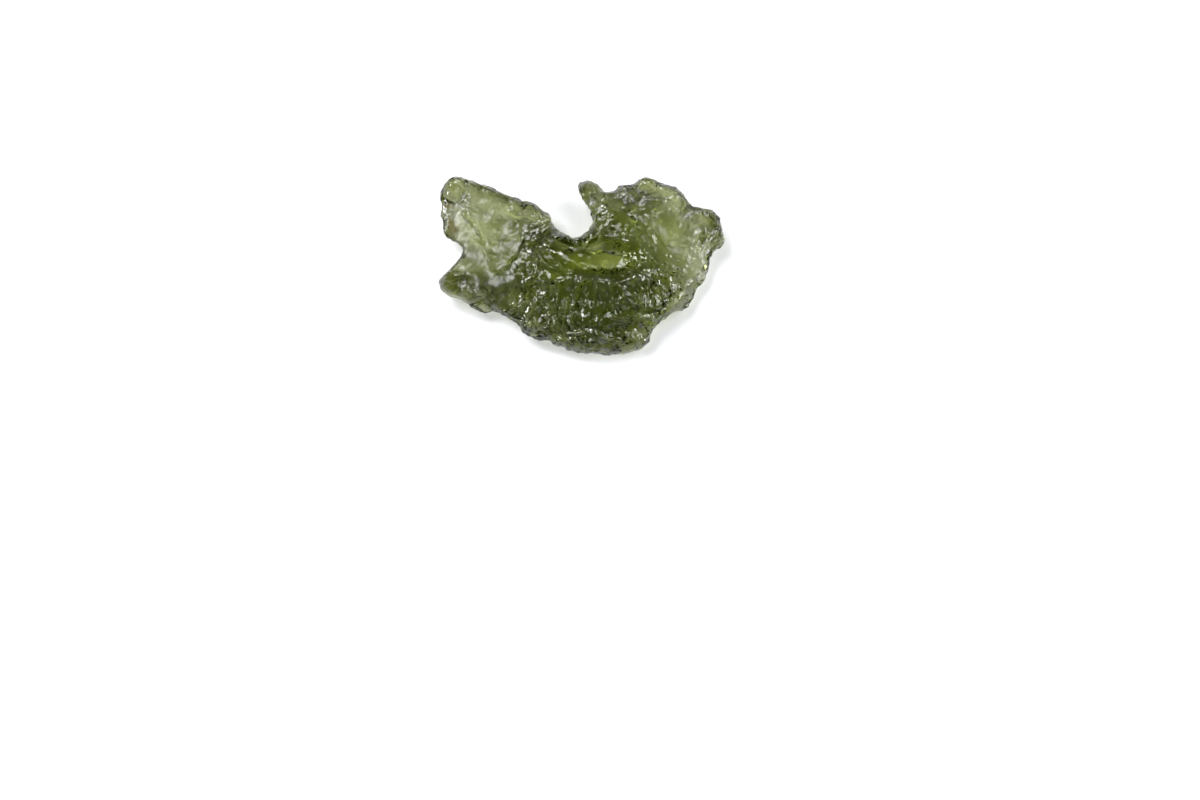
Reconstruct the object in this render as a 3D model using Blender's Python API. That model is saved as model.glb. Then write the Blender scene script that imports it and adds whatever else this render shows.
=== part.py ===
"""A natural moldavite: one flake of green glass with a deep bay in its back edge, a thick fluted body
and thin wings, lying on a small flat spot.

Metres, +Z up. X runs along the stone, Y runs across it towards the bay. The origin is the middle of the
stone's footprint, on the surface that the stone lies on. All tables below are in steps of a ninth of a
millimetre, counted from the middle of the stone. Heights are in the same steps.
"""

import math

import bpy
import numpy as np
from mathutils import Vector
from mathutils.geometry import delaunay_2d_cdt

# Driving dimensions
STONE_LENGTH = 0.032
STEPS_ALONG = 284
STEP = STONE_LENGTH / STEPS_ALONG
# The outline was seen from this far above the horizon, so its depth is stretched back to the true one
SEEN_FROM = math.radians(82)
RIM_ROUNDING = 7.0
LEAST_THICKNESS = 6.0
THINNING = 4.0
RIM_LEVEL = 0.42

# Spacing of the mesh points: along the edge, over the upper face and over the plainer underside
EDGE_SPACING = 3.9
RING_INSETS = (1.3, 4.3)
TOP_SPACING = 3.75
UNDER_SPACING = 6.2

GLASS_GREEN = (0.12, 0.17, 0.03, 1.0)
GLASS_ROUGHNESS = 0.12
GLASS_IOR = 1.49
SEED = 15

# The edge of the stone seen from above, clockwise from the tip of the left wing
OUTLINE = [
    (-142, 71), (-141.5, 77), (-139, 82), (-134.5, 86.5), (-127.5, 89), (-121.5, 87.5), (-115.5, 84.5),
    (-109.5, 83.5), (-103, 80), (-95, 79), (-89, 75.5), (-80, 71), (-71.5, 67), (-67.5, 67.5),
    (-62.5, 64.5), (-59.5, 62), (-54.5, 63), (-48.5, 61), (-42, 56), (-35, 51.5), (-32, 46.5),
    # The bay in the back edge and the horn beside it
    (-30, 41), (-24.5, 34.5), (-17.5, 29.5), (-11.5, 26), (-3, 25.5), (4, 30), (9, 35.5), (11, 43),
    (10.5, 50), (6.5, 58), (0.5, 67), (-3, 74.5), (-2.5, 79.5), (1.5, 83), (6, 84.5), (11.5, 83.5),
    (15.5, 80.5), (19, 77), (23.5, 74), (30, 74.5), (36, 77.5), (40, 80.5), (44.5, 81.5), (49, 79.5),
    # The right wing
    (52.5, 83), (57, 86.5), (63, 88.5), (68.5, 88), (73.5, 85.5), (84, 81.5), (93, 78), (99.5, 74),
    (103, 68.5), (105.5, 64), (112.5, 58.5), (120, 57.5), (127, 55), (133.5, 51.5), (138, 47), (139, 41),
    (140, 34), (142, 26), (141, 21), (136, 17), (131, 12.5), (127.5, 6), (127, 0), (125.5, -7),
    (123, -13), (122, -16.5), (115, -22.5), (113.5, -28), (110, -35.5), (106.5, -41), (102, -44.5),
    # The front edge, from right to left
    (93, -46.5), (87.5, -50), (78, -57), (73.5, -61.5), (69, -69), (66.5, -76), (60.5, -82),
    (52.5, -85.5), (44.5, -88), (30, -89), (15, -88.5), (1, -87.5), (-6, -86), (-13, -85), (-17, -82),
    (-24.5, -81), (-30, -77.5), (-35, -74.5), (-41, -75.5), (-46, -74.5), (-52, -71), (-58, -68.5),
    (-61, -65), (-62.5, -61), (-70, -55), (-78.5, -49.5), (-84.5, -45.5), (-89, -44), (-93.5, -45.5),
    (-97.5, -47), (-103.5, -45), (-111, -41), (-116.5, -36.5), (-124.5, -32.5), (-135, -29.5),
    # The small bay in the left edge
    (-139.5, -25.5), (-142, -20.5), (-141.5, -15), (-136.5, -9), (-127, 1), (-121.5, 8), (-119, 15),
    (-121, 20), (-126, 24), (-134, 28), (-138, 31), (-139.5, 37), (-139.5, 45), (-141.5, 52),
    (-140.5, 59), (-141.5, 65),
]

# Heights of the upper face at chosen places, as x, y, height
TOP_SPOTS = [
    # Body: the rim of the basin, its floor, the crest in front of it, the flank and the bench
    (-37, 3, 50), (-42, -5, 50), (-30, 18, 49), (-7, 20, 50), (18, 17, 49), (43, 16, 50), (58, 7, 49),
    (68, -3, 46), (86, -11, 37), (-22, 7, 42), (-2, 7, 38), (12, 2, 35), (26, 7, 34), (26, -4, 34),
    (42, 1, 36), (-27, -18, 52),
    (-2, -18, 54), (23, -17, 55), (48, -19, 54), (73, -23, 44), (-62, -35, 38), (-37, -40, 46),
    (-7, -41, 49), (23, -41, 50), (53, -41, 49), (83, -38, 41), (-47, -57, 38), (-22, -60, 43),
    (8, -61, 46), (38, -61, 46), (63, -57, 42), (-22, -73, 38), (8, -75, 41), (38, -75, 41),
    (58, -73, 38),
    # Slope from the body down to the left wing
    (-67, -10, 36), (-57, 7, 38), (-77, -25, 36), (-47, 25, 37), (-42, 40, 33),
    # Left wing
    (-132, 80, 27), (-127, 65, 24), (-112, 75, 33), (-92, 70, 36), (-67, 58, 36), (-47, 53, 34),
    (-107, 50, 27), (-82, 43, 28), (-62, 33, 32), (-132, 40, 26), (-102, 25, 27), (-82, 15, 27),
    (-112, 10, 24), (-97, -5, 30), (-122, -10, 33), (-134, -22, 40), (-107, -25, 37), (-97, -38, 29),
    # Horn and right wing
    (5, 76, 36), (16, 60, 38), (18, 40, 43), (33, 65, 35), (43, 75, 32), (38, 40, 45), (43, 27, 48),
    (63, 80, 33), (63, 60, 33), (58, 40, 36), (78, 70, 32), (98, 65, 33), (83, 40, 24), (93, 30, 22),
    (73, 20, 31), (108, 45, 27), (116, 25, 22), (103, 10, 22), (88, 3, 28), (123, 50, 35),
    (133, 40, 34), (136, 25, 31), (121, 3, 24), (106, -17, 25), (116, -10, 22), (103, -33, 28),
    (88, -43, 34),
]

# Heights of the underside. Where it would dip below the table it is worn flat, and the stone rests there
UNDER_SPOTS = [
    (-34, 0, -2), (8, -6, -4), (46, -6, -3), (-22, -30, -2), (18, -32, -4), (56, -26, -2),
    (8, 14, -3), (8, 23, 1), (-62, 0, 5), (-82, -5, 8), (-102, 15, 11), (-122, -5, 9), (-137, -20, 8),
    (-132, 75, 10), (-102, 65, 10), (-62, 50, 10), (-60, 34, 9), (-42, 40, 8), (-102, 38, 12), (-102, -36, 7),
    (-72, -40, 5), (-52, -60, 5), (-22, -76, 5), (18, -80, 6), (58, -70, 5), (88, -42, 5),
    (18, -52, 1), (-22, -46, 1), (56, -46, 2), (80, -6, 3), (83, 35, 7), (108, 25, 8), (133, 30, 8),
    (128, 50, 8), (98, 65, 7), (68, 80, 7), (38, 75, 7), (8, 75, 8), (18, 50, 6), (48, 40, 5),
    (108, -5, 7), (106, -26, 6),
]

# Hollows in the underside, as x, y, half length, half width, turn in degrees, depth
UNDER_HOLLOWS = [
    (25, 1, 30, 18, 3, 4), (74, -9, 20, 12, -25, 4),
]

# Raised lines, as height, half width, points
RIDGES = [
    # Around the basin
    (6, 5, [(-44, 8), (-41, 0), (-33, -7), (-24, -9)]),
    (5, 4, [(-29, 1), (-20, -3), (-10, -9)]),
    (6, 5, [(-10, -13), (3, -16), (15, -16), (22, -11), (31, -11), (39, -6), (45, 1)]),
    (4, 4, [(-37, 19), (-26, 24), (-10, 22), (4, 18), (16, 16), (26, 22), (38, 21), (52, 19)]),
    # The brow above the flutes
    (3, 4, [(-42, -21), (-22, -22), (-7, -20), (14, -19), (30, -22), (46, -19), (58, -23)]),
    # Shoulder of the body and the near edge of the right window
    (8, 5, [(52, 22), (59, 13), (66, 5), (72, -2), (80, -3), (89, -9)]),
    (5, 4, [(68, 36), (74, 27), (81, 13), (90, 4), (100, 2), (105, -5)]),
    # Rolled rims of the wings
    (5, 9, [(-135, 82), (-126, 85), (-110, 79), (-92, 74), (-72, 63), (-52, 58), (-39, 49)]),
    (4, 6, [(50, 79), (63, 84), (76, 80), (93, 73), (101, 65)]),
    # Folds in the left wing
    (3, 3.5, [(-85, 61), (-75, 54), (-62, 51), (-48, 52)]),
    (4, 4, [(-118, 54), (-107, 39), (-100, 25), (-94, 17), (-90, 7)]),
]

# Sunk lines, as depth, half width, points
GROOVES = [
    (4, 3.5, [(54, 50), (56, 31), (61, 21)]),
    (5, 3.5, [(108, 58), (118, 50), (124, 40), (126, 27), (122, 15), (115, 3)]),
    (2.5, 3, [(-108, 62), (-102, 53), (-95, 51)]),
]

# Rounded lumps, as x, y, half length, half width, turn in degrees, height
LUMPS = [
    (120, 53, 7, 7, 0, 4), (131, 49, 7, 7, 0, 5), (135, 37, 6, 6, 0, 4), (135, 25, 6, 6, 0, 3),
    (129, 15, 5, 5, 0, 3), (4, 78, 7, 7, 0, 4), (30, 74, 6, 6, 0, 2), (43, 77, 6, 6, 0, 3),
    (66, 84, 7, 7, 0, 3), (106, -16, 11, 7, 80, 4),
]

# Smooth dished windows, as x, y, half length, half width, turn in degrees, depth
WINDOWS = [
    (25, 1, 24, 12, 3, 6), (-7, 13, 14, 7, 0, 3), (-26, -14, 17, 5, 0, 6),
    (85, 35, 15, 13, -30, 4), (101, 13, 8, 9, 0, 3), (115, 24, 13, 6, 80, 5), (94, 62, 8, 6, -20, 4),
    (40, 43, 9, 5, 85, 5), (18, 33, 6, 6, 0, 3), (73, 65, 6, 6, 0, 3),
    (-129, 72, 10, 9, 0, 2), (-112, 10, 9, 8, 0, 3), (-86, 16, 9, 6, -15, 3),
    (-97, 40, 16, 9, -40, 4),
]

# Places where an upper layer has broken away and a lower ledge shows, as depth, blend width, corners
LEDGES = [
    (5, 3, [(-113, -34), (-103, -31.5), (-95, -31), (-88, -37), (-79, -46), (-84, -60), (-117, -60)]),
    (5, 3, [(-62, -67), (-34, -72), (-15, -70), (8, -72), (30, -66), (46, -60), (63, -55), (80, -54),
            (80, -100), (-62, -100)]),
]

# Rows of flutes down the front of the body, as first x, last x, y, pitch, half length, half width, depth
FLUTE_ROWS = [
    (-66, 82, -34, 17, 15, 9.5, 9),
    (-60, 70, -53, 15, 12, 8.5, 7),
    (-40, 60, -67, 14, 8, 8, 5),
]
FLUTE_FAN = math.radians(24)
FLUTE_FAN_MIDDLE = 8
FLUTE_FAN_REACH = 75

# Pits over the rest of the surface: how many, the smallest and largest radius, depth
TOP_PITS = (360, 5.5, 9.5, 4.0)
UNDER_PITS = (240, 8.0, 14.0, 5.0)
# How far the wear of the sand has taken sharp crests back towards the glass around them
WEAR = 0.45
# The part of the underside that stays flat: x, y, half length, half width
REST_SPOT = (8, -14, 44, 19)


def smooth_outline(corners, spacing):
    """Evenly spaced points on the closed Catmull-Rom curve through the corners, as an array."""
    samples = np.linspace(0, 1, 12, endpoint=False)[:, None]
    before, start = np.roll(corners, 1, axis=0), corners
    end, after = np.roll(corners, -1, axis=0), np.roll(corners, -2, axis=0)
    dense = []
    for p0, p1, p2, p3 in zip(before, start, end, after):
        dense.append(0.5 * (2 * p1 + (p2 - p0) * samples
                            + (2 * p0 - 5 * p1 + 4 * p2 - p3) * samples**2
                            + (3 * p1 - p0 - 3 * p2 + p3) * samples**3))
    dense = np.concatenate(dense + [corners[:1]])
    along = np.concatenate([[0], np.cumsum(np.linalg.norm(np.diff(dense, axis=0), axis=1))])
    count = round(along[-1] / spacing)
    places = np.linspace(0, along[-1], count, endpoint=False)
    return np.column_stack([np.interp(places, along, dense[:, axis]) for axis in (0, 1)])


def distance_to_line(points, line, closed=False):
    """Distance from each point to the nearest place on a line of straight runs."""
    line = np.asarray(line, float)
    starts = line if closed else line[:-1]
    ends = np.roll(line, -1, axis=0) if closed else line[1:]
    nearest = np.full(len(points), np.inf)
    for start, end in zip(starts, ends):
        run = end - start
        share = np.clip((points - start) @ run / (run @ run), 0, 1)
        nearest = np.minimum(nearest, np.linalg.norm(points - start - share[:, None] * run, axis=1))
    return nearest


def is_inside(points, corners):
    """True for each point inside the closed polygon, by counting the sides that lie to its right."""
    inside = np.zeros(len(points), bool)
    for (x1, y1), (x2, y2) in zip(corners, np.roll(corners, -1, axis=0)):
        if y1 == y2:
            continue
        crosses = (points[:, 1] > min(y1, y2)) & (points[:, 1] <= max(y1, y2))
        meets_x = x1 + (points[:, 1] - y1) * (x2 - x1) / (y2 - y1)
        inside ^= crosses & (meets_x > points[:, 0])
    return inside


def spread_out(points, spacing):
    """The points with those dropped that crowd an earlier one."""
    kept = []
    for point in points:
        if all((point[0] - k[0]) ** 2 + (point[1] - k[1]) ** 2 > spacing**2 for k in kept[-60:]):
            kept.append(point)
    return kept


def plan_points(edge, spacing):
    """Points inside the edge: rings that follow it closely, then an even triangular field."""
    tangent = np.roll(edge, -1, axis=0) - np.roll(edge, 1, axis=0)
    tangent /= np.linalg.norm(tangent, axis=1)[:, None]
    inward = np.column_stack([tangent[:, 1], -tangent[:, 0]])
    rings = []
    for inset in RING_INSETS:
        ring = edge + inward * inset
        clear = distance_to_line(ring, edge, closed=True) > 0.9 * inset
        rings += spread_out(list(ring[clear]), 0.62 * EDGE_SPACING)
    row_gap = spacing * math.sqrt(3) / 2
    low, high = edge.min(axis=0), edge.max(axis=0)
    field = []
    for row, y in enumerate(np.arange(low[1], high[1], row_gap)):
        shift = spacing / 2 * (row % 2)
        field += [(x, y) for x in np.arange(low[0] + shift, high[0], spacing)]
    field = np.array(field)
    field = field[is_inside(field, edge)]
    clear_of_rings = RING_INSETS[-1] + 0.7 * spacing
    field = field[distance_to_line(field, edge, closed=True) > clear_of_rings]
    return np.concatenate([np.array(rings), field])


def fill_plan(edge, spacing):
    """Triangles that fill the edge. Every inner side of a triangle has an end that isn't on the edge."""
    inner = plan_points(edge, spacing)
    count = len(edge)
    sides = [(i, (i + 1) % count) for i in range(count)]
    while True:
        flat = [Vector(p) for p in np.concatenate([edge, inner])]
        points, _, faces, _, _, _ = delaunay_2d_cdt(flat, sides, [], 0, 1e-6, False)
        points = np.array([tuple(p) for p in points])
        faces = np.array(faces)
        faces = faces[is_inside(points[faces].mean(axis=1), edge)].tolist()
        chords = set()
        for face in faces:
            for a, b in zip(face, face[1:] + face[:1]):
                if a < count and b < count and (b - a) % count not in (1, count - 1):
                    chords.add((min(a, b), max(a, b)))
        if not chords:
            return points, faces
        inner = np.concatenate([inner, [(points[a] + points[b]) / 2 for a, b in sorted(chords)]])


def thin_plate(points, spots):
    """The smoothest sheet through the heights at the spots, read at the points."""
    spots = np.array(spots, float)
    places, heights = spots[:, :2], spots[:, 2]

    def bending(a, b):
        gap = np.linalg.norm(a[:, None, :] - b[None, :, :], axis=2)
        return gap**2 * np.log(gap + 1e-9)

    flat = np.column_stack([np.ones(len(places)), places])
    system = np.block([[bending(places, places), flat], [flat.T, np.zeros((3, 3))]])
    weights = np.linalg.solve(system, np.concatenate([heights, np.zeros(3)]))
    tilt = np.column_stack([np.ones(len(points)), points]) @ weights[-3:]
    return bending(points, places) @ weights[:-3] + tilt


def oval_reach(points, x, y, half_length, half_width, turn):
    """How far each point lies from the middle of an oval, as a share of the way to its edge."""
    across, up = points[:, 0] - x, points[:, 1] - y
    along = across * math.cos(turn) + up * math.sin(turn)
    aside = up * math.cos(turn) - across * math.sin(turn)
    return np.hypot(along / half_length, aside / half_width)


def dish(reach):
    """A shallow dish: 1 in its middle, falling gently to 0 where the reach is 1."""
    return np.clip(1 - reach**2, 0, 1) ** 1.5


def cups(points, ovals):
    """Depth of a surface scooped out by round-bottomed cups, sharp where two of them meet."""
    depth = np.zeros(len(points))
    for x, y, half_length, half_width, turn, deep in ovals:
        reach = oval_reach(points, x, y, half_length, half_width, turn)
        depth = np.maximum(depth, deep * (1 - reach**2))
    return depth


def flutes(rng):
    """Long cups that fan out down the front of the body."""
    made = []
    for first, last, y, pitch, half_length, half_width, depth in FLUTE_ROWS:
        for x in np.arange(first, last, pitch):
            place = x + rng.uniform(-0.15, 0.15) * pitch
            fan = FLUTE_FAN * (place - FLUTE_FAN_MIDDLE) / FLUTE_FAN_REACH
            turn = -math.pi / 2 + fan + rng.uniform(-0.14, 0.14)
            made.append((place, y + rng.uniform(-2.5, 2.5), half_length * rng.uniform(0.8, 1.15),
                         half_width * rng.uniform(0.85, 1.15), turn, depth * rng.uniform(0.8, 1.2)))
    return made


def pits(rng, count, smallest, largest, depth, kept_smooth):
    """Round pits scattered over the stone, left out of the ovals that stay smooth."""
    low, high = np.min(OUTLINE, axis=0), np.max(OUTLINE, axis=0)
    middles = rng.uniform(low, high, (count, 2))
    free = np.ones(count, bool)
    for x, y, half_length, half_width, turn, _ in kept_smooth:
        free &= oval_reach(middles, x, y, half_length, half_width, math.radians(turn)) > 1.05
    made = []
    for x, y in middles[free]:
        radius = rng.uniform(smallest, largest)
        made.append((x, y, radius * rng.uniform(1.0, 1.5), radius, rng.uniform(0, math.pi),
                     depth * rng.uniform(0.6, 1.3)))
    return made


def line_relief(points, lines):
    """Height of crests that run along the lines and fall away on both sides."""
    relief = np.zeros(len(points))
    for height, half_width, line in lines:
        share = np.clip(1 - distance_to_line(points, line) / half_width, 0, 1)
        relief = np.maximum(relief, height * share**1.3)
    return relief


def upper_face(points):
    """Height of the upper face over each point, before the rim is rounded."""
    rng = np.random.default_rng(SEED)
    height = thin_plate(points, TOP_SPOTS)
    height += line_relief(points, RIDGES)
    height -= line_relief(points, GROOVES)
    for x, y, half_length, half_width, turn, tall in LUMPS:
        height += tall * np.exp(-oval_reach(points, x, y, half_length, half_width, math.radians(turn)) ** 2)
    for x, y, half_length, half_width, turn, depth in WINDOWS:
        reach = oval_reach(points, x, y, half_length, half_width, math.radians(turn))
        height -= depth * dish(reach / 1.35)
    for depth, blend, corners in LEDGES:
        inside = np.where(is_inside(points, np.array(corners)), 1, -1)
        away = inside * distance_to_line(points, corners, closed=True)
        height -= depth * np.clip(0.5 + away / (2 * blend), 0, 1)
    scoops = flutes(rng) + pits(rng, *TOP_PITS, WINDOWS)
    return height - cups(points, scoops)


def under_face(points):
    """Height of the underside over each point, before the rim is rounded."""
    rng = np.random.default_rng(SEED + 1)
    rest_x, rest_y, rest_length, rest_width = REST_SPOT
    smooth = WINDOWS + [(rest_x, rest_y, rest_length, rest_width, 0, 0)]
    scoops = cups(points, pits(rng, *UNDER_PITS, smooth))
    height = np.maximum(thin_plate(points, UNDER_SPOTS) + scoops, 0)
    for x, y, half_length, half_width, turn, depth in UNDER_HOLLOWS:
        reach = oval_reach(points, x, y, half_length, half_width, math.radians(turn))
        height += depth * dish(reach)
    return height


def worn(heights, faces, fixed):
    """The heights drawn towards the mean of their neighbours, but for the first few, which are fixed."""
    sides = np.array([(a, b) for face in faces for a, b in zip(face, face[1:] + face[:1])])
    total, count = np.zeros(len(heights)), np.zeros(len(heights))
    np.add.at(total, sides[:, 0], heights[sides[:, 1]])
    np.add.at(count, sides[:, 0], 1)
    softer = heights + WEAR * (total / np.maximum(count, 1) - heights)
    softer[:fixed] = heights[:fixed]
    return softer


def both_faces(plan, edge):
    """Heights of the upper face and the underside, drawn together round the rim to meet at the edge."""
    inset = distance_to_line(plan, edge, closed=True)
    inset[: len(edge)] = 0
    under = under_face(plan)
    # Thins out towards the least thickness without a crease
    spare = upper_face(plan) - under - LEAST_THICKNESS
    top = under + LEAST_THICKNESS + (spare + np.hypot(spare, THINNING)) / 2
    level = under + RIM_LEVEL * (top - under)
    share = np.clip(inset / RIM_ROUNDING, 0, 1)
    bulge = np.sqrt(1 - (1 - share) ** 2)
    return level + (top - level) * bulge, level + (under - level) * bulge


def moldavite_mesh():
    """The closed mesh: one sheet above and one below, which share the points of the edge."""
    corners = np.array(OUTLINE, float) / [1, math.sin(SEEN_FROM)]
    edge = smooth_outline(corners, EDGE_SPACING)
    count = len(edge)
    top_plan, top_faces = fill_plan(edge, TOP_SPACING)
    under_plan, under_faces = fill_plan(edge, UNDER_SPACING)
    top = worn(both_faces(top_plan, edge)[0], top_faces, count)
    under = both_faces(under_plan, edge)[1]
    above = np.column_stack([top_plan, top])
    below = np.column_stack([under_plan, under])[count:]
    points = np.concatenate([above, below])
    points -= [*(edge.min(axis=0) + edge.max(axis=0)) / 2, 0]
    points *= STEP
    # A point of the lower sheet is one of the shared edge, or comes after all those of the upper sheet
    later = len(top_plan) - count
    turned = [[i if i < count else i + later for i in reversed(face)] for face in under_faces]
    mesh = bpy.data.meshes.new("moldavite")
    mesh.from_pydata([tuple(p) for p in points], [], top_faces + turned)
    mesh.validate()
    mesh.shade_smooth()
    return mesh


def green_glass():
    """Clear olive-green glass."""
    material = bpy.data.materials.new("moldavite_glass")
    material.use_nodes = True
    shader = material.node_tree.nodes["Principled BSDF"]
    shader.inputs["Base Color"].default_value = GLASS_GREEN
    shader.inputs["Roughness"].default_value = GLASS_ROUGHNESS
    shader.inputs["Metallic"].default_value = 0.0
    shader.inputs["IOR"].default_value = GLASS_IOR
    return material


def clear_scene():
    for item in list(bpy.data.objects):
        bpy.data.objects.remove(item)


def main():
    clear_scene()
    stone = bpy.data.objects.new("moldavite", moldavite_mesh())
    stone.data.materials.append(green_glass())
    bpy.context.scene.collection.objects.link(stone)


main()
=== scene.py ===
import math

import bpy
import numpy as np
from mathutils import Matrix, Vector, kdtree


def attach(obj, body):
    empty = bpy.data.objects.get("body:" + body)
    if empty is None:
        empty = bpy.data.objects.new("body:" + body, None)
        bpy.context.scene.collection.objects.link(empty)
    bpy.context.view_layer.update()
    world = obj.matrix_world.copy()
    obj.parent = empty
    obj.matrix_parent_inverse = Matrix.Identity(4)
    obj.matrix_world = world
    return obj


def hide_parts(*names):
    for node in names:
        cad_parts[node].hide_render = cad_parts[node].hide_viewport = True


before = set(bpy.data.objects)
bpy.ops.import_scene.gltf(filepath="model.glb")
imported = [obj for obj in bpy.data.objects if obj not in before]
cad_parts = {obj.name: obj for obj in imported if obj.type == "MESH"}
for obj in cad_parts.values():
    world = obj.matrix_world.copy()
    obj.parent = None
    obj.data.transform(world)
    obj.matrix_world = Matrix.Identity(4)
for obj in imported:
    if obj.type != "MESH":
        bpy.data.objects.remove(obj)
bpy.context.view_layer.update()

# The stone is one flake of natural glass that froze from a splash of melt. Acid ground water then
# etched its skin over millions of years into cups, flutes and sharp crests, and left a few smooth
# windows. Nothing holds it: it lies on the small flat spot under its body.
STONE_LENGTH = 0.032
# Places on the stone are given in steps from its middle, 284 of them to its length
STEP = STONE_LENGTH / 284

SKIN_CELL = 0.00013
SMOOTHING_ROUNDS = 3
WINDOW_ROUNDS = 18
# Evens out what smoothing and cups take off the silhouette, and a little more round the rim
SKIN_SWELL = 0.00016
RIM_SWELL = 0.00016
# Height over the table below which the skin isn't moved in full, so that the flat spot stays flat
LYING_HEIGHT = 0.0003

# Round cups all over, long channels down the front, and fine pits in both
CUP_WIDTH, CUP_DEPTH = 0.00088, 0.00022
CHANNEL_WIDTH, CHANNEL_DEPTH = 0.00098, 0.00046
PIT_WIDTH, PIT_DEPTH = 0.00050, 0.00009
# Places tried in each cup's area, least spacing, and distance from a middle to its crest, the
# last two as shares of a cup's width
CUP_TRIES, CUP_SPACING, CUP_REACH = 40, 0.8, 0.72
# How much higher the crests stand on the fluted front
FRONT_CREST_GAIN = 0.35

# Middle of the fan that the flutes of the front spread from, behind the stone, the length that one
# radian of the fan counts as, and how many times longer than wide the flutes are
FAN_MIDDLE = (8 * STEP, 134 * STEP)
FAN_RADIAN = 0.019
FLUTE_STRETCH = 2.6

# Edges of the fluted front and of the left wing, as a line across the stone and the run past it
# over which the place comes up in full, in steps
FRONT_TOP = (-16, -10)
FRONT_FOOT = (-78, 8)
FRONT_LEFT = (-82, 16)
LEFT_WING_ROOT = (-50, -20)

# Smooth windows, as x, y, half length, half width, turn and smoothness, in steps and degrees
WINDOWS = [
    (26, 4, 22, 9, 2, 1.0), (-7, 13, 13, 6, 0, 1.0), (-26, -14, 16, 6, 0, 1.0),
    (-22, 9, 13, 8, 0, 0.5), (6, 4, 46, 11, 0, 0.8), (85, 35, 17, 15, -30, 1.0),
    (101, 13, 10, 10, 0, 1.0), (115, 24, 13, 6, 80, 1.0), (96, 28, 28, 22, -40, 0.6),
    (94, 62, 8, 6, -20, 0.8), (40, 43, 9, 6, 85, 1.0), (107, -16, 11, 7, 70, 1.0),
    (-129, 72, 9, 8, 0, 1.0), (-112, 8, 11, 8, 10, 1.0), (-80, 17, 19, 9, -12, 1.0),
    (-98, 40, 16, 9, -50, 1.0), (-100, 38, 34, 20, -35, 0.6), (-88, 10, 32, 17, 0, 0.6),
    (-100, -12, 18, 12, 0, 0.5),
]

# Places of the pitted rim, tips and body darkened with painted shade, given as the windows are,
# with their darkness
PAINTED_SHADE_PLACES = [
    (-129, 74, 18, 16, 0, 1.2), (-135, 40, 10, 20, 0, 1.0), (-124, 20, 14, 10, -30, 0.6),
    (-127, -17, 17, 13, 40, 1.4), (-104, -22, 28, 14, -12, 0.85), (-88, -40, 20, 6, -28, 0.7),
    (-92, 73, 42, 9, -16, 0.9), (-56, 60, 26, 10, -20, 0.8), (-46, 42, 22, 20, 0, 0.5),
    (-84, 12, 30, 16, 0, 0.4), (-76, -12, 24, 20, 0, 0.3), (-113, 7, 14, 13, 0, 1.1),
    (106, -17, 12, 14, 0, 0.55), (126, 36, 10, 20, 0, 0.75), (66, 80, 16, 9, 0, 0.8),
    (5, 22, 26, 7, 6, 0.6), (4, 74, 15, 22, 0, 1.1), (44, 72, 28, 12, 0, 0.7),
    (75, 78, 26, 11, -14, 0.6), (28, 46, 16, 20, 0, 0.2), (112, 0, 14, 16, 0, 0.25),
    (112, 26, 10, 20, 0, 0.25), (102, 12, 12, 12, 0, 0.22), (112, 54, 22, 9, -12, 0.7),
    (134, 38, 11, 20, 0, 1.0), (134, 14, 9, 12, -40, 0.8), (26, -79, 44, 9, 0, 0.5),
    (0, -62, 56, 9, -4, 0.3),
]

# Finely frosted places, where light spreads softly, given as the windows are, with their share
FROSTED_PLACES = [
    (-98, 32, 46, 54, 0, 1.0), (-96, -16, 34, 22, -20, 0.8), (100, 42, 44, 44, -30, 0.8),
    (108, 0, 26, 26, 0, 0.6), (8, 74, 16, 24, 0, 0.8), (48, 66, 30, 22, 0, 0.6),
]

# Brown clay left in pits of the left edge, given as the windows are, with its share
CLAY_SPOTS = [
    (-132, 41, 4, 5, 20, 1.0), (-127, 36, 3, 3, 0, 1.0), (-135, 61, 2.5, 4, 0, 1.0),
    (-118, 31, 3, 2, 0, 1.0),
]

# Thin places that let more light through, given as the windows are, with the hollow under them in
# steps, and how squarely that hollow ends
THIN_PLACES = [
    (27, 4, 30, 21, 2, 12), (-24, -14, 18, 8, 0, 4), (88, -44, 20, 14, 40, 5),
    (76, -22, 20, 16, 0, 4),
]
HOLLOW_EDGE = 1.5

# Floor of the basin, as x, y, half length, half width, turn, height over the table, and its fall
# for each step to the right
BASIN_FLOOR = (12, 4.5, 38, 16, -3, 31.3, 0.14)

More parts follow.
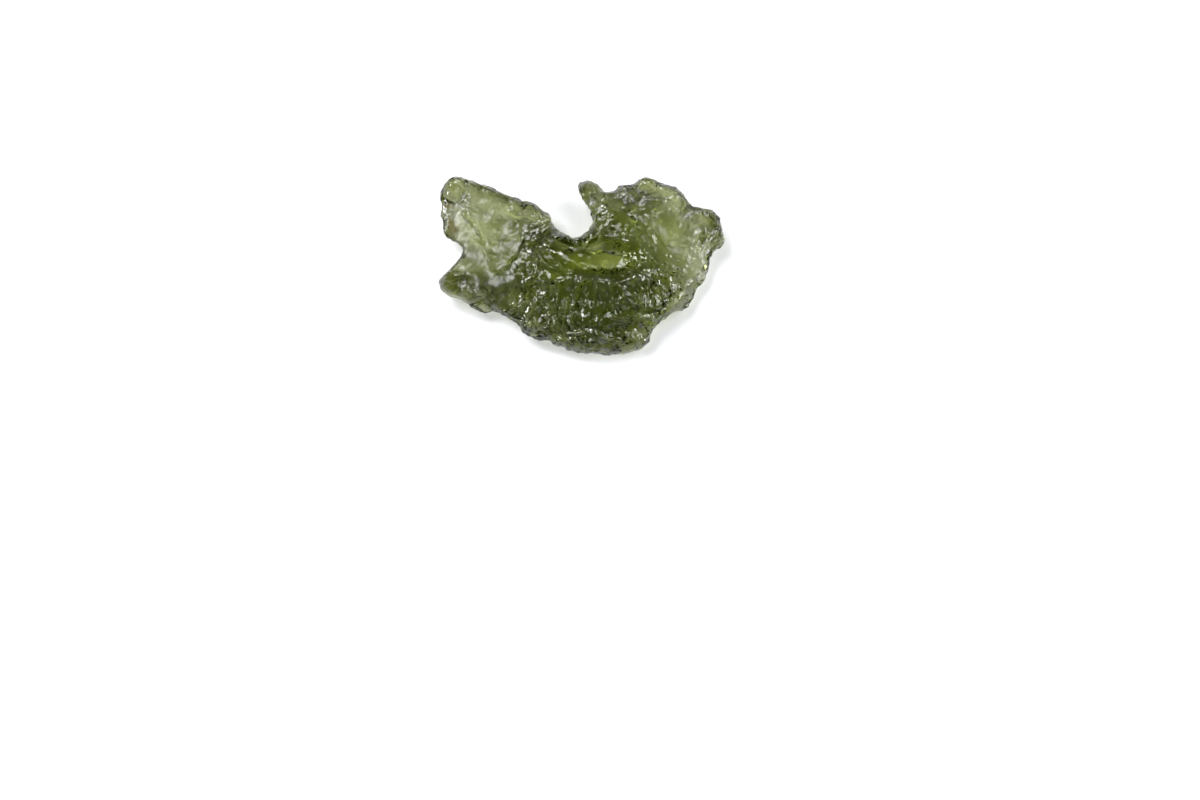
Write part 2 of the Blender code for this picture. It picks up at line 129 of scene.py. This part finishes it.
# Sharp crests between the largest cups, as height, half width and line, in steps
CRESTS = [
    # Flutes of the front, from left to right
    (2.5, 3.0, [(-71, -34), (-67, -41)]),
    (3.0, 3.2, [(-57, -35), (-51, -41), (-48, -47), (-53, -53), (-54, -64)]),
    (2.5, 3.0, [(-48, -28), (-45, -34)]),
    (2.5, 3.0, [(-44, -37), (-41, -42)]),
    (3.0, 3.0, [(-32, -43), (-30, -50), (-35, -56)]),
    (3.5, 3.6, [(-23, -22), (-24, -33), (-25, -44)]),
    (3.0, 3.0, [(-15, -39), (-16, -51)]),
    (4.0, 4.6, [(-5.5, -27), (-7, -36), (-8.5, -46)]),
    (3.5, 3.0, [(13, -21), (13, -38), (9, -48)]),
    (2.5, 3.0, [(20, -20), (20, -30)]),
    (2.5, 3.0, [(28, -26), (31, -34)]),
    (3.0, 3.0, [(30, -44), (31, -56), (44, -57)]),
    (2.5, 3.0, [(38, -27), (42, -36)]),
    (2.5, 3.0, [(52, -35), (57, -42)]),
    (2.5, 3.0, [(75, -28), (81, -36)]),
    (2.5, 3.0, [(-32, -58), (-35, -64)]),
    (2.5, 3.0, [(-11, -55), (-12, -62)]),
    # Rim of the basin: wrinkles on its left, glinting lumps on its right and below
    (3.5, 3.2, [(-44, 8), (-40, -1), (-29, -8), (-20, -10), (-10, -10)]),
    (2.5, 3.0, [(-33, -1), (-24, -3), (-14, -8)]),
    (3.0, 3.4, [(17, -6), (24, -13), (31, -11), (36, -8), (41, -14)]),
    (3.0, 3.0, [(45, -4), (50, -10), (54, -19)]),
    (2.5, 2.8, [(42, 9), (48, 6), (52, 1)]),
    (3.0, 3.0, [(-18, 24), (-8, 18), (4, 17), (12, 23), (20, 30)]),
    # Diagonal rib between the body and the right wing, and the chain of lumps beside it
    (3.5, 3.4, [(53, 21), (58, 15), (63, 10), (67.5, 3), (73, -2), (80, -3), (87, -7), (92, -11)]),
    (3.0, 3.6, [(68, 36), (73, 29), (77, 20), (85, 11), (93, 3), (101, 1)]),
    # Folds of the left wing
    (2.5, 3.2, [(-120, 62), (-112, 58), (-106, 55)]),
    (3.0, 3.4, [(-120, 52), (-108, 40), (-98, 22), (-91, 7)]),
    (2.0, 2.6, [(-106, 27), (-100, 22), (-94, 17)]),
    (2.5, 3.0, [(-74, 55), (-66, 48), (-58, 50), (-48, 47)]),
    (2.5, 2.8, [(-105, -30), (-98, -29), (-92, -33), (-84, -42), (-78, -47)]),
    # Rim of the bench
    (2.5, 3.0, [(-14, -72), (2, -71), (14, -72), (25, -79), (38, -80)]),
    (2.5, 3.0, [(57, -56), (72, -56), (87, -48), (102, -31)]),
    # Deep fold and lobes of the right wing
    (2.5, 2.8, [(121, 30), (117, 14), (111, 1)]),
    (2.5, 3.0, [(84, 65), (90, 60), (96, 54)]),
]


def skin_of(node, name):
    """A new object with the shape of a solid, cut into small even faces."""
    skin = bpy.data.objects.new(name, node.data.copy())
    bpy.context.scene.collection.objects.link(skin)
    remesh = skin.modifiers.new("even faces", "REMESH")
    remesh.mode = "VOXEL"
    remesh.voxel_size = SKIN_CELL
    soften = skin.modifiers.new("soften", "SMOOTH")
    soften.factor = 0.5
    soften.iterations = SMOOTHING_ROUNDS
    bpy.context.view_layer.update()
    evaluated = skin.evaluated_get(bpy.context.evaluated_depsgraph_get())
    even = bpy.data.meshes.new_from_object(evaluated)
    skin.modifiers.clear()
    skin.data = even
    return skin


def read_points(mesh):
    """Places and outward directions of a mesh's points, as two arrays."""
    places = np.empty(len(mesh.vertices) * 3)
    outward = np.empty(len(mesh.vertices) * 3)
    mesh.vertices.foreach_get("co", places)
    mesh.vertex_normals.foreach_get("vector", outward)
    return places.reshape(-1, 3), outward.reshape(-1, 3)


def evened(mesh, places, share):
    """The points drawn again and again to the middle of their neighbours, each by its share."""
    ends = np.empty(len(mesh.edges) * 2, int)
    mesh.edges.foreach_get("vertices", ends)
    first, second = ends[::2], ends[1::2]
    met = np.bincount(ends, minlength=len(places))[:, None]
    even = places.copy()
    for _ in range(WINDOW_ROUNDS):
        middles = np.column_stack([
            np.bincount(first, even[second, axis], len(places))
            + np.bincount(second, even[first, axis], len(places))
            for axis in range(3)]) / met
        even += share[:, None] * (middles - even)
    return even


def cupped(places, width, seed, squeeze=None):
    """Round-bottomed cups side by side: 1 at a cup's middle, 0 at the sharp crest between two."""
    felt = places if squeeze is None else squeeze(places)
    rng = np.random.default_rng(seed)
    span = felt.max(axis=0) - felt.min(axis=0)
    order = rng.permutation(len(felt))
    tries = int(CUP_TRIES * span[0] * span[1] / width**2)
    tree = kdtree.KDTree(len(felt))
    taken = set()
    for index in order[:tries]:
        cell = tuple((felt[index] / (CUP_SPACING * width)).astype(int))
        if cell not in taken:
            taken.add(cell)
            tree.insert(felt[index], index)
    tree.balance()
    nearest = np.array([tree.find(place)[2] for place in felt])
    return np.clip(1 - (nearest / (CUP_REACH * width)) ** 2, 0, 1)


def fanned(places):
    """Places with the way down each flute made short, so that round cups come out long."""
    across = places[:, 0] - FAN_MIDDLE[0]
    down = FAN_MIDDLE[1] - places[:, 1]
    reach = np.hypot(across, down)
    turned = np.arctan2(across, down) * FAN_RADIAN
    return np.column_stack([turned, reach / FLUTE_STRETCH, places[:, 2] / FLUTE_STRETCH])


def past(values, line, run):
    """0 before a line across the stone, rising to 1 over a run past it."""
    return np.clip((values - line * STEP) / (run * STEP), 0, 1)


def oval_share(places, x, y, half_length, half_width, turn, edge=2):
    """1 in the middle of an oval, falling to 0 past its edge, faster where edge is more."""
    across = places[:, 0] / STEP - x
    up = places[:, 1] / STEP - y
    turn = math.radians(turn)
    along = across * math.cos(turn) + up * math.sin(turn)
    aside = up * math.cos(turn) - across * math.sin(turn)
    return np.exp(-((along / half_length) ** 2 + (aside / half_width) ** 2) ** edge)


def strongest(places, ovals):
    """The most that any oval of a list gives at each place."""
    share = np.zeros(len(places))
    for x, y, half_length, half_width, turn, most in ovals:
        share = np.maximum(share, most * oval_share(places, x, y, half_length, half_width, turn))
    return share


def crest_share(places, line, half_width):
    """1 on a line across the stone, falling to 0 at half its width to each side."""
    flat = places[:, :2] / STEP
    nearest = np.full(len(flat), np.inf)
    for start, end in zip(np.array(line, float)[:-1], np.array(line, float)[1:]):
        run = end - start
        share = np.clip((flat - start) @ run / (run @ run), 0, 1)
        gap = np.linalg.norm(flat - start - share[:, None] * run, axis=1)
        nearest = np.minimum(nearest, gap)
    return np.clip(1 - nearest / half_width, 0, 1) ** 1.2


stone = skin_of(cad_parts["moldavite"], "moldavite_skin")
places, outward = read_points(stone.data)
upper = np.clip(outward[:, 2] * 2 + 0.5, 0, 1)
below = np.clip(-1.5 * outward[:, 2], 0, 1)

# A crest breaks up the smooth glass of a window, and what isn't smooth is rough
smooth = strongest(places, WINDOWS)
near_crest = np.zeros(len(places))
for _, half_width, line in CRESTS:
    near_crest = np.maximum(near_crest, crest_share(places, line, 1.8 * half_width))
on_crest = np.clip(2.5 * near_crest - 0.8, 0, 1) * upper
near_crest = np.clip(2 * near_crest, 0, 1) * upper
smooth *= 1 - 0.85 * near_crest
rough = 1 - 0.97 * smooth

# The windows are evened out, and the floor of the basin is laid level
places = evened(stone.data, places, np.clip(1.6 * smooth - 0.5, 0, 1))
floor_x, floor_y, half_length, half_width, turn, height, fall = BASIN_FLOOR
level = oval_share(places, floor_x, floor_y, half_length, half_width, turn)
level *= np.clip(3 * outward[:, 2], 0, 1)
drop = fall * (places[:, 0] - floor_x * STEP)
places[:, 2] += level * (height * STEP - drop - places[:, 2])

soft = strongest(places, FROSTED_PLACES)
# Painted shade over the listed places of the rim, the tips and the body
painted_shade = strongest(places, PAINTED_SHADE_PLACES)
front = past(places[:, 1], *FRONT_TOP) * past(places[:, 1], *FRONT_FOOT)
front *= past(places[:, 0], *FRONT_LEFT) * upper
left_wing = past(places[:, 0], *LEFT_WING_ROOT)

# The front has fewer round cups and more channels, and the thin left wing is cupped lightly
cups = cupped(places, CUP_WIDTH, seed=3) * rough * (1 - 0.7 * front) * (1 - 0.4 * left_wing)
channels = cupped(places, CHANNEL_WIDTH, seed=4, squeeze=fanned) * front
pits = cupped(places, PIT_WIDTH, seed=5) * np.maximum(rough, 0.75 * soft)
pits *= 1 - 0.2 * front * (1 - near_crest)
depth = CUP_DEPTH * cups + CHANNEL_DEPTH * channels + PIT_DEPTH * pits
raised = np.zeros(len(places))
for height, half_width, line in CRESTS:
    crest_height = height * STEP * (1 + FRONT_CREST_GAIN * front)
    raised = np.maximum(raised, crest_height * crest_share(places, line, half_width))
depth -= raised * upper

lying = np.clip(places[:, 2] / LYING_HEIGHT, 0, 1)
swell = SKIN_SWELL + RIM_SWELL * np.clip(1.2 - 1.6 * np.abs(outward[:, 2]), 0, 1)
places -= outward * ((depth - swell) * lying)[:, None]
for x, y, half_length, half_width, turn, hollow in THIN_PLACES:
    thin = oval_share(places, x, y, half_length, half_width, turn, HOLLOW_EDGE)
    places[:, 2] += hollow * STEP * below * thin
places[:, 2] = np.maximum(places[:, 2], 0)
stone.data.vertices.foreach_set("co", places.ravel())


def carry(name, values):
    """Keeps a value from 0 to 1 at each point of the stone, for the glass to read."""
    kept = stone.data.attributes.new(name, "FLOAT", "POINT")
    kept.data.foreach_set("value", values)


# Crests are etched most, frosted places spread light, and clay settles in the hollows
# Painted shade in the hollows, most in the channels of the flutes and least on the crests
hollow_shade = (0.16 * cups + 0.44 * channels + 0.26 * pits) * (1 - 0.6 * on_crest)
carry("etched", 0.3 * rough + 0.7 * on_crest)
carry("frost", np.clip(0.09 * rough + 0.85 * soft * (1 - 0.7 * near_crest), 0, 1))
carry("clay", strongest(places, CLAY_SPOTS) * (0.3 + 0.7 * pits))
# Painted shade share: etched skin, hollows and the shaded places darken the glass's colour
carry("shade_paint", np.clip(0.10 * rough + hollow_shade + 0.55 * painted_shade, 0, 1))
stone.data.shade_smooth()
stone.data.update()

# The glass is clear olive green, so thick places are dark and thin ones pale. Light lost per metre
# is the density times what each colour lacks of 1.
GLASS_BENDING = 1.49
GLASS_COLOUR = (0.571, 0.625, 0.04, 1)
GLASS_DENSITY = 480
# Roughness of a window and of a frosted place, and strength of the fine relief there and on crests
SHINY, FROSTED = 0.03, 0.40
FAINT, CRISP = 0.03, 0.40
RIPPLE_SCALE = 3600
SPECKLE_SCALE = 4200
RELIEF_HEIGHT = 0.00006
CLEAN_TINT = (1.0, 1.0, 0.98, 1)
# Colour that the painted shade greys the glass towards
PAINTED_SHADE_TINT = (0.14, 0.15, 0.05, 1)
CLAY_COLOUR = (0.20, 0.15, 0.035, 1)

glass = bpy.data.materials.new("moldavite_glass")
glass.use_nodes = True
nodes, links = glass.node_tree.nodes, glass.node_tree.links
shader = nodes["Principled BSDF"]
shader.inputs["IOR"].default_value = GLASS_BENDING
shader.inputs["Transmission Weight"].default_value = 1.0
absorb = nodes.new("ShaderNodeVolumeAbsorption")
absorb.inputs["Color"].default_value = GLASS_COLOUR
absorb.inputs["Density"].default_value = GLASS_DENSITY
links.new(absorb.outputs["Volume"], nodes["Material Output"].inputs["Volume"])


def carried(name):
    """What the stone carries under a name, as an output for the glass."""
    reading = nodes.new("ShaderNodeAttribute")
    reading.attribute_name = name
    return reading.outputs["Fac"]


def between(value, low, high):
    """An output that goes from low to high as a value goes from 0 to 1."""
    ranged = nodes.new("ShaderNodeMapRange")
    ranged.inputs["To Min"].default_value = low
    ranged.inputs["To Max"].default_value = high
    links.new(value, ranged.inputs["Value"])
    return ranged.outputs["Result"]


# Fine relief: ripples and specks far smaller than the pits
coordinates = nodes.new("ShaderNodeTexCoord")
ripple = nodes.new("ShaderNodeTexNoise")
ripple.inputs["Scale"].default_value = RIPPLE_SCALE
ripple.inputs["Detail"].default_value = 0
speckle = nodes.new("ShaderNodeTexVoronoi")
speckle.inputs["Scale"].default_value = SPECKLE_SCALE
relief = nodes.new("ShaderNodeMath")
relief.operation = "ADD"
bump = nodes.new("ShaderNodeBump")
bump.inputs["Distance"].default_value = RELIEF_HEIGHT
links.new(coordinates.outputs["Object"], ripple.inputs["Vector"])
links.new(coordinates.outputs["Object"], speckle.inputs["Vector"])
links.new(ripple.outputs["Fac"], relief.inputs[0])
links.new(speckle.outputs["Distance"], relief.inputs[1])
links.new(relief.outputs["Value"], bump.inputs["Height"])
links.new(between(carried("etched"), FAINT, CRISP), bump.inputs["Strength"])
links.new(bump.outputs["Normal"], shader.inputs["Normal"])
links.new(between(carried("frost"), SHINY, FROSTED), shader.inputs["Roughness"])

# Painted shade greys the hollows and the shaded places, and clay stains a few of the hollows brown
tint = nodes.new("ShaderNodeValToRGB")
tint.color_ramp.elements[0].color = CLEAN_TINT
tint.color_ramp.elements[1].color = PAINTED_SHADE_TINT
links.new(carried("shade_paint"), tint.inputs["Fac"])
stain = nodes.new("ShaderNodeMix")
stain.data_type = "RGBA"
stain.inputs["B"].default_value = CLAY_COLOUR
links.new(carried("clay"), stain.inputs["Factor"])
links.new(tint.outputs["Color"], stain.inputs["A"])
links.new(stain.outputs["Result"], shader.inputs["Base Color"])
stone.data.materials.clear()
stone.data.materials.append(glass)

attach(stone, "root")
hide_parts("moldavite")

# The table is a plain white board with a matt painted face. It lies level under the stone, and it
# is wide enough to fill every view.
TABLE_HALF = 0.9
# The board lies a hair lower than the stone's flat spot, so that the two faces never coincide
TABLE_GAP = 0.00002
BOARD_WHITE = (0.9, 0.9, 0.9, 1)
BOARD_ROUGHNESS = 0.8
table_mesh = bpy.data.meshes.new("table")
corners = [
    (-TABLE_HALF, -TABLE_HALF, 0), (TABLE_HALF, -TABLE_HALF, 0),
    (TABLE_HALF, TABLE_HALF, 0), (-TABLE_HALF, TABLE_HALF, 0),
]
table_mesh.from_pydata(corners, [], [(0, 1, 2, 3)])
table = bpy.data.objects.new("table", table_mesh)
table.location.z = -TABLE_GAP
bpy.context.scene.collection.objects.link(table)
board = bpy.data.materials.new("white_board")
board.use_nodes = True
paint = board.node_tree.nodes["Principled BSDF"]
paint.inputs["Base Color"].default_value = BOARD_WHITE
paint.inputs["Roughness"].default_value = BOARD_ROUGHNESS
table_mesh.materials.append(board)

# The light comes from five square soft boxes on stands round the table, the strongest behind the
# stone's left wing. The two at its sides hang low, so the flutes glint while level glass stays
# clear, and the room is dim and even.
SOFT_BOX_COLOUR = (0.95, 0.96, 1.0)
ROOM_COLOUR = (0.9, 0.95, 1.0, 1)
ROOM_STRENGTH = 0.08
# Each as name, place, side and power
SOFT_BOXES = [
    ("back_left_soft_box", (-0.32, 0.32, 0.60), 0.42, 6.3),
    ("back_right_soft_box", (0.44, 0.22, 0.52), 0.38, 2.5),
    ("front_soft_box", (-0.04, -0.56, 0.46), 0.36, 0.9),
    ("left_soft_box", (-0.62, -0.04, 0.34), 0.20, 4.0),
    ("right_soft_box", (0.62, -0.02, 0.34), 0.19, 2.8),
]
for name, place, side, power in SOFT_BOXES:
    lamp = bpy.data.lights.new(name, "AREA")
    lamp.shape = "SQUARE"
    lamp.size = side
    lamp.energy = power
    lamp.color = SOFT_BOX_COLOUR
    soft_box = bpy.data.objects.new(name, lamp)
    soft_box.location = place
    soft_box.rotation_euler = (-Vector(place)).to_track_quat("-Z", "Y").to_euler()
    bpy.context.scene.collection.objects.link(soft_box)
room = bpy.data.worlds.new("room")
room.use_nodes = True
room.node_tree.nodes["Background"].inputs["Color"].default_value = ROOM_COLOUR
room.node_tree.nodes["Background"].inputs["Strength"].default_value = ROOM_STRENGTH
bpy.context.scene.world = room

# The camera is a still camera with a long lens on a copy stand. It is fixed nearly overhead, a
# little to the front, and looks at a place in front of the stone, so the stone lies high in view.
PICTURE_STEPS = 1200
CAMERA_ELEVATION = math.radians(82)
CAMERA_AIM = (18, -135.2)
AIM_HEIGHT = 0.0021
camera = bpy.data.cameras.new("camera")
camera.lens = 100
camera.sensor_width = 36
camera.clip_start = 0.005
distance = PICTURE_STEPS * STEP * camera.lens / camera.sensor_width
aim_x, aim_y = CAMERA_AIM
aim = Vector((aim_x * STEP, aim_y * STEP / math.sin(CAMERA_ELEVATION), AIM_HEIGHT))
camera_object = bpy.data.objects.new("camera", camera)
away = Vector((0, -math.cos(CAMERA_ELEVATION), math.sin(CAMERA_ELEVATION)))
camera_object.location = aim + away * distance
camera_object.rotation_euler = (math.pi / 2 - CAMERA_ELEVATION, 0, 0)
bpy.context.scene.collection.objects.link(camera_object)
bpy.context.scene.camera = camera_object
bpy.context.scene.view_settings.view_transform = "Standard"
# Light crosses the fluted glass many times before it comes out
bpy.context.scene.cycles.max_bounces = 24
bpy.context.scene.cycles.transmission_bounces = 20
bpy.context.scene.cycles.use_denoising = True
